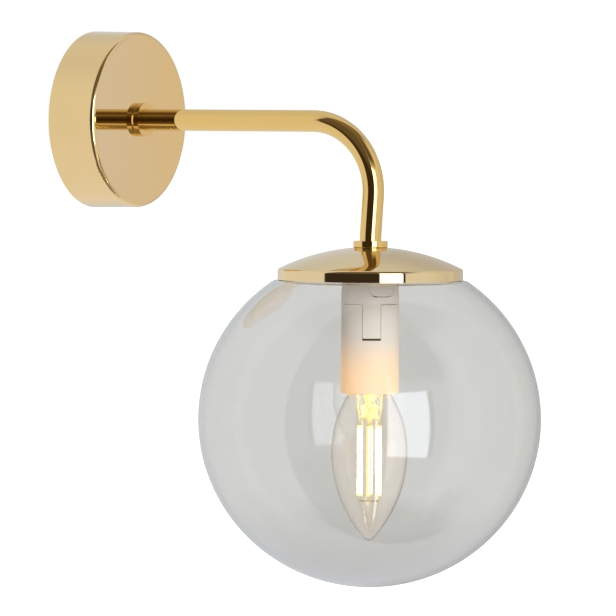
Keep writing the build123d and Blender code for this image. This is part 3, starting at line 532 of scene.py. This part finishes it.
earthWireSettings = {
    "pale": (0.20, 0.42, 0.05),
    "deep": (0.15, 0.33, 0.04),
    "stripe": (0.80, 0.62, 0.03),
    "stripeFaces": (0.94, 0.0, 0.34),
    "stripeEdge": (0.66, 0.74),
    "rough": (0.35, 0.5),
    "grainDepth": 0.00002,
}


def makeEarthWire(settings):
    # green insulation with a yellow stripe along each side
    material, tree, shader, green = startFinish("greenWire", {**plasticGrain, **settings})
    stripe = softStep(tree, normalAlong(tree, settings["stripeFaces"]), *settings["stripeEdge"])
    feed(tree, shader.inputs["Base Color"], mixColours(tree, stripe, green, settings["stripe"]))
    return material


screwCapSettings = {
    "metallic": 1.0,
    "pale": (0.80, 0.79, 0.76),
    "deep": (0.68, 0.67, 0.63),
    "rough": (0.15, 0.28),
    "patchScale": 60,
    "grainScale": 900,
    "pitch": 0.00282,
    "depth": 0.0007,
}


def makeScrewCap(settings):
    # nickel plated cap with its rolled thread
    material, tree, shader = startFinish("lampNickel", settings)[:3]
    low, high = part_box("lamp_screw_cap")
    parts = addNode(tree, "ShaderNodeSeparateXYZ")
    feed(tree, parts.inputs[0], objectPlace(tree))
    aside = mathNode(tree, "SUBTRACT", parts.outputs["Y"], (low.y + high.y) / 2)
    around = mathNode(tree, "ARCTAN2", aside, parts.outputs["X"])
    climb = mathNode(tree, "MULTIPLY", parts.outputs["Z"], 2 * math.pi / settings["pitch"])
    wave = mathNode(tree, "SINE", mathNode(tree, "SUBTRACT", climb, around))
    addBump(tree, shader, wave, 1.0, settings["depth"] / 2)
    return material


filamentSettings = {
    "phosphor": (0.95, 0.70, 0.28),
    "rough": 0.4,
    "middle": (1.0, 0.93, 0.68),
    "ends": (0.30, 0.24, 0.045),
    "endShare": 0.07,  # of the strip's length
    "edges": (0.17, 0.13, 0.055),
    "edgeFaces": (0.3, 0.8),
    "strength": 6.0,
}


def makeFilament(settings):
    material, tree, shader = newMaterial(
        "filamentPhosphor", Roughness=settings["rough"], Base_Color=settings["phosphor"],
    )
    low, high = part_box("lamp_filaments")
    end = (high.z - low.z) * settings["endShare"]
    foot = heightStep(tree, low.z, low.z + end)
    head = heightStep(tree, high.z - end, high.z)
    middle = mathNode(tree, "MULTIPLY", foot, mathNode(tree, "SUBTRACT", 1.0, head))
    colour = mixColours(tree, middle, settings["ends"], settings["middle"])
    # the strips' narrow edges, which face round the lamp's axis, glow less than the coated faces
    offset = addNode(tree, "ShaderNodeVectorMath", operation="SUBTRACT")
    feed(tree, offset.inputs[0], objectPlace(tree))
    feed(tree, offset.inputs[1], ((low.x + high.x) / 2, (low.y + high.y) / 2, 0))
    around = addNode(tree, "ShaderNodeVectorMath", operation="CROSS_PRODUCT")
    feed(tree, around.inputs[0], (0, 0, 1))
    feed(tree, around.inputs[1], offset.outputs[0])
    unit = addNode(tree, "ShaderNodeVectorMath", operation="NORMALIZE")
    feed(tree, unit.inputs[0], around.outputs[0])
    broad = softStep(tree, normalAlong(tree, unit.outputs[0]), *settings["edgeFaces"])
    feed(tree, shader.inputs["Emission Color"], mixColours(tree, broad, settings["edges"], colour))
    feed(tree, shader.inputs["Emission Strength"], settings["strength"])
    return material


holderSettings = {
    "pale": (0.88, 0.86, 0.83),
    "deep": (0.85, 0.83, 0.79),
    "warm": (0.88, 0.81, 0.70),  # painted light: warmer near the foot, where the lamp lights it from within
    "through": (0.135, 0.100, 0.072),  # painted light: an even glow over the whole shell, for the lamp's light that the thin shell lets through
    "glow": (0.62, 0.26, 0.02),  # and the painted light near its foot
    "glowTop": 0.031,
    "glowFull": 0.006,
    "rough": (0.36, 0.46),
    "grainDepth": 0.00002,
}


def makeHolder(settings):
    material, tree, shader, white = startFinish("whiteHolder", {**plasticGrain, **settings})
    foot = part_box("holder_shell")[0].z
    # painted light: the shell turns warmer and glows more towards its foot
    warm = heightStep(tree, foot + settings["glowTop"], foot + settings["glowFull"])
    feed(tree, shader.inputs["Base Color"], mixColours(tree, warm, white, settings["warm"]))
    light = mixColours(tree, warm, settings["through"], settings["glow"])
    feed(tree, shader.inputs["Emission Color"], light)
    feed(tree, shader.inputs["Emission Strength"], 1.0)
    return material


leadWireSettings = {
    "metallic": 1.0,
    "pale": (0.90, 0.82, 0.60),
    "deep": (0.80, 0.70, 0.48),
    "rough": (0.15, 0.28),
    "patchScale": 200,
    "grainScale": 2000,
    "low": (0.22, 0.15, 0.05),  # the painted light below and above the filaments' upper ends
    "high": (1.0, 0.78, 0.26),
    "rise": (-0.002, 0.004),
    "strength": 0.9,
}


def makeLeadWire(settings):
    # nickel wire, with painted yellow light from the filaments next to it
    material, tree, shader = startFinish("leadWire", settings)[:3]
    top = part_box("lamp_filaments")[1].z
    start, end = settings["rise"]
    above = heightStep(tree, top + start, top + end)
    light = mixColours(tree, above, settings["low"], settings["high"])
    feed(tree, shader.inputs["Emission Color"], light)
    feed(tree, shader.inputs["Emission Strength"], settings["strength"])
    return material


finishes = {}
for grain, group in ((metalGrain, metalFinishes), (plasticGrain, plasticFinishes)):
    for name, settings in group.items():
        finishes[name] = startFinish(name, {**grain, **settings})[0]
for name, settings in glassFinishes.items():
    finishes[name] = makeGlass(name, {**glassGrain, **settings})
finishes["greenWire"] = makeEarthWire(earthWireSettings)
finishes["lampNickel"] = makeScrewCap(screwCapSettings)
finishes["leadWire"] = makeLeadWire(leadWireSettings)
finishes["filamentPhosphor"] = makeFilament(filamentSettings)
finishes["whiteHolder"] = makeHolder(holderSettings)

nodesByFinish = {
    "canopyBrass": ["canopy"],
    "capBrass": ["dome_cap"],
    "tubeBrass": ["arm_tube", "canopy_collar", "cap_collar"],
    "zincSteel": [
        "wall_bracket", "bracket_earth_screw", "weld_nuts", "grub_screws", "canopy_washer",
        "canopy_nut", "cap_washer", "cap_nut", "terminal_screws", "entry_bush", "clamp_screws",
    ],
    "springSteel": ["globe_spring"],
    "tinnedTag": ["earth_tag"],
    "contactBrass": ["terminal_sleeves", "centre_contact", "side_contact"],
    "lampNickel": ["lamp_screw_cap"],
    "leadWire": ["lamp_leads"],
    "solder": ["lamp_tip_contact"],
    "blockPlastic": ["terminal_block"],
    "whiteHolder": ["holder_cap", "holder_shell"],
    "insertPlasticPaintedShade": ["holder_insert"],
    "brownWire": ["live_wire"],
    "blueWire": ["neutral_wire"],
    "greenWire": ["earth_wire"],
    "blackInsulator": ["lamp_insulator"],
    "boardGreen": ["lamp_driver"],
    "globeGlass": ["glass_globe"],
    "lampGlass": ["lamp_glass"],
    "stemGlass": ["lamp_stem"],
    "filamentPhosphor": ["lamp_filaments"],
}

for finish, names in nodesByFinish.items():
    for name in names:
        slots = cadNodes[name].data.materials
        slots.clear()
        slots.append(finishes[finish])
print("materials given to", sum(len(names) for names in nodesByFinish.values()), "nodes")

# the blown globe, spun finer than the frame's own mesh so that its rim refracts cleanly
globeSettings = {
    "halfHeight": 0.0769,
    "wall": 0.0015,
    "neckRadius": 0.0395,
    "neckWall": 0.002,
    "neckHeight": 0.004,
    "shoulderRound": 0.001,
    "roundSteps": 5,
    "arcSteps": 320,
    "turnSteps": 288,
    "mergeDistance": 1e-6,
}


def addPiece(name, bm, finish):
    mesh = bpy.data.meshes.new(name)
    bm.to_mesh(mesh)
    bm.free()
    mesh.materials.append(finishes[finish])
    piece = bpy.data.objects.new(name, mesh)
    bpy.context.scene.collection.objects.link(piece)
    return piece


def addArc(bm, centre, radius, halfHeight, top, steps):
    # the right half of an ellipse in the XZ plane, from its lowest point up to height top
    ring = bmesh.ops.create_circle(bm, cap_ends=False, segments=steps, radius=1.0)["verts"]
    turn = Matrix.Rotation(math.pi / 2, 4, "X")
    stretch = Matrix.Diagonal((radius, 1.0, halfHeight, 1.0))
    bmesh.ops.transform(bm, matrix=Matrix.Translation(centre) @ stretch @ turn, verts=ring)
    for place, facing in ((centre, (1, 0, 0)), (Vector((0, 0, top)), (0, 0, -1))):
        edges = list(dict.fromkeys(edge for vert in ring for edge in vert.link_edges))
        cut = bmesh.ops.bisect_plane(
            bm, geom=ring + edges, plane_co=place, plane_no=facing, clear_inner=True,
        )
        kept = [part for part in ring + cut["geom_cut"] if part.is_valid]
        ring = [part for part in dict.fromkeys(kept) if isinstance(part, bmesh.types.BMVert)]
    return max(ring, key=lambda vert: vert.co.z)


def buildGlobe(settings):
    low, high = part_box("glass_globe")
    radius = (high.x - low.x) / 2
    shelf = high.z - settings["neckHeight"]
    half = settings["halfHeight"]
    wall = settings["wall"]
    axis = Vector(((low.x + high.x) / 2, (low.y + high.y) / 2, low.z + half))
    bm = bmesh.new()
    outer = addArc(bm, axis, radius, half, shelf, settings["arcSteps"])
    inner = addArc(bm, axis, radius - wall, half - wall, shelf - wall, settings["arcSteps"])
    neck = settings["neckRadius"]
    bore = neck - settings["neckWall"]
    corners = ((neck, shelf), (neck, high.z), (bore, high.z), (bore, shelf - wall))
    chain = [outer] + [bm.verts.new((axis.x + reach, axis.y, z)) for reach, z in corners] + [inner]
    for first, second in zip(chain, chain[1:]):
        bm.edges.new((first, second))
    shoulder, lipOutside, lipInside = outer, chain[2], chain[3]
    bmesh.ops.bevel(
        bm, geom=[shoulder, lipOutside, lipInside], offset=settings["shoulderRound"],
        segments=settings["roundSteps"], affect="VERTICES", profile=0.5, material=-1,
        clamp_overlap=True,
    )
    bmesh.ops.spin(
        bm, geom=bm.verts[:] + bm.edges[:], cent=axis, axis=(0, 0, 1), angle=2 * math.pi,
        steps=settings["turnSteps"], use_merge=True,
    )
    bmesh.ops.remove_doubles(bm, verts=bm.verts[:], dist=settings["mergeDistance"])
    bmesh.ops.recalc_face_normals(bm, faces=bm.faces[:])
    for face in bm.faces:
        face.smooth = True
    globe = addPiece("blownGlobe", bm, "globeGlass")
    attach(globe, "globe")
    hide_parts("glass_globe")
    print("globe:", len(globe.data.polygons), "faces")


buildGlobe(globeSettings)

# the lit wires that fan out from the lamp's neck to its filaments, in metres and degrees
leadFanSettings = {
    "turn": 20.0,  # of the first filament round the lamp's axis
    "filaments": 4,
    "thickness": 0.00042,
    "sides": 8,
    "spread": (-26.0, -9.0, 9.0, 26.0),  # how far each wire starts to the side of its filament
    "top": 0.0185,  # heights above the filaments' upper ends
    "topRadius": 0.0062,
    "knee": 0.0085,
    "kneeRadius": 0.0056,
    "kneeShare": -0.6,  # of the spread: the wires cross on their way down
    "footRadius": 0.00435,
    "footShare": 0.1,
}


def addWire(bm, start, end, settings):
    along = end - start
    turn = along.to_track_quat("Z", "Y").to_matrix().to_4x4()
    radius = settings["thickness"] / 2
    bmesh.ops.create_cone(
        bm, cap_ends=True, segments=settings["sides"], radius1=radius, radius2=radius,
        depth=along.length, matrix=Matrix.Translation((start + end) / 2) @ turn,
    )


def buildLeadFan(settings):
    low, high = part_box("lamp_filaments")
    axis = Vector(((low.x + high.x) / 2, (low.y + high.y) / 2, high.z))

    def pointAt(radius, degrees, lift):
        angle = math.radians(degrees)
        return axis + Vector((math.cos(angle) * radius, math.sin(angle) * radius, lift))

    bm = bmesh.new()
    for place in range(settings["filaments"]):
        bar = settings["turn"] + place * 360 / settings["filaments"]
        for aside in settings["spread"]:
            top = pointAt(settings["topRadius"], bar + aside, settings["top"])
            kneeAngle = bar + aside * settings["kneeShare"]
            footAngle = bar + aside * settings["footShare"]
            knee = pointAt(settings["kneeRadius"], kneeAngle, settings["knee"])
            foot = pointAt(settings["footRadius"], footAngle, settings["thickness"])
            addWire(bm, top, knee, settings)
            addWire(bm, knee, foot, settings)
    fan = addPiece("leadFan", bm, "leadWire")
    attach(fan, "lamp")


buildLeadFan(leadFanSettings)
print("lead fan built")
